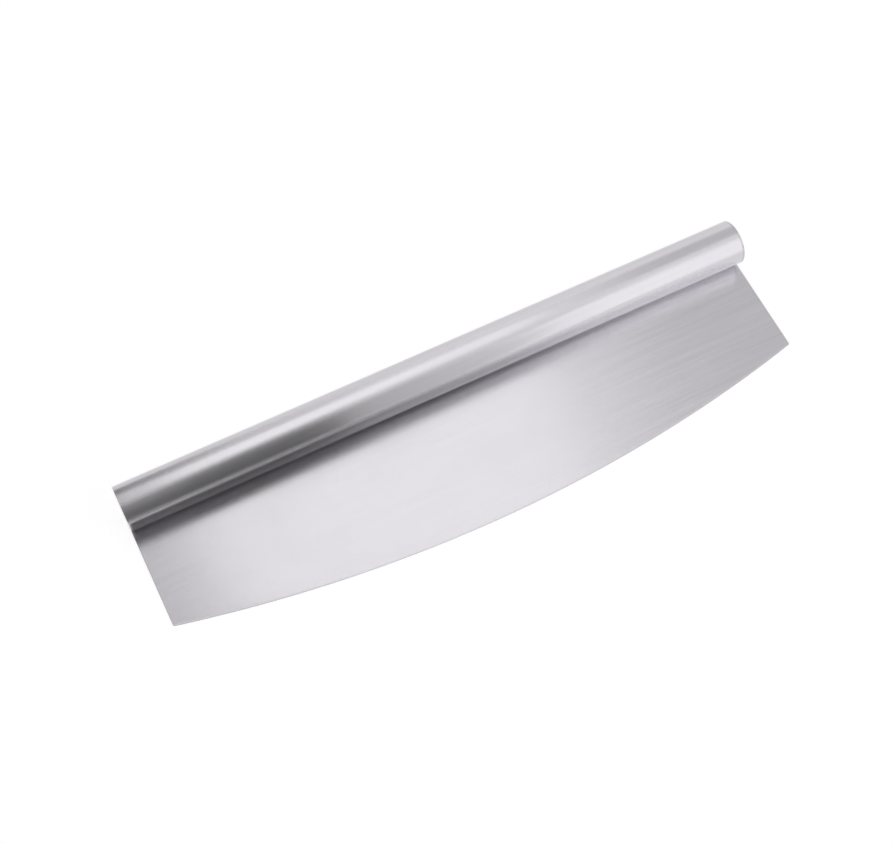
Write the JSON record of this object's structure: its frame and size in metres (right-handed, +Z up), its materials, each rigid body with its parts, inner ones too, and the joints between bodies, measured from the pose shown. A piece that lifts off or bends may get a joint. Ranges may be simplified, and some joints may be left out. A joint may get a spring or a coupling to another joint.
{
  "type": "rocking pizza cutter",
  "caption": "Rocking pizza cutter: wide sheet-steel blade with a bowed, bevelled edge under a hollow round handle of the same length, closed at both ends.",
  "frame": {"origin": "on the surface that the cutter lies on, under the middle of its outline", "axes": "+X along the handle, +Y from the cutting edge towards the handle, +Z up, out of the blade's front face"},
  "size_m": [0.35, 0.0946, 0.024],
  "materials": {
    "blade_steel": "satin rolled sheet, ground bevel",
    "handle_steel": "satin, polished along the handle",
    "cap_steel": "satin, ground round the rim",
    "weld_steel": "dull weld bead"
  },
  "bodies": {
    "root": {"blade": "blade_steel", "handle_tube": "handle_steel", "end_cap_left": "cap_steel", "end_cap_right": "cap_steel", "front_seam_weld": "weld_steel", "rear_seam_weld": "weld_steel"}
  },
  "joints": []
}
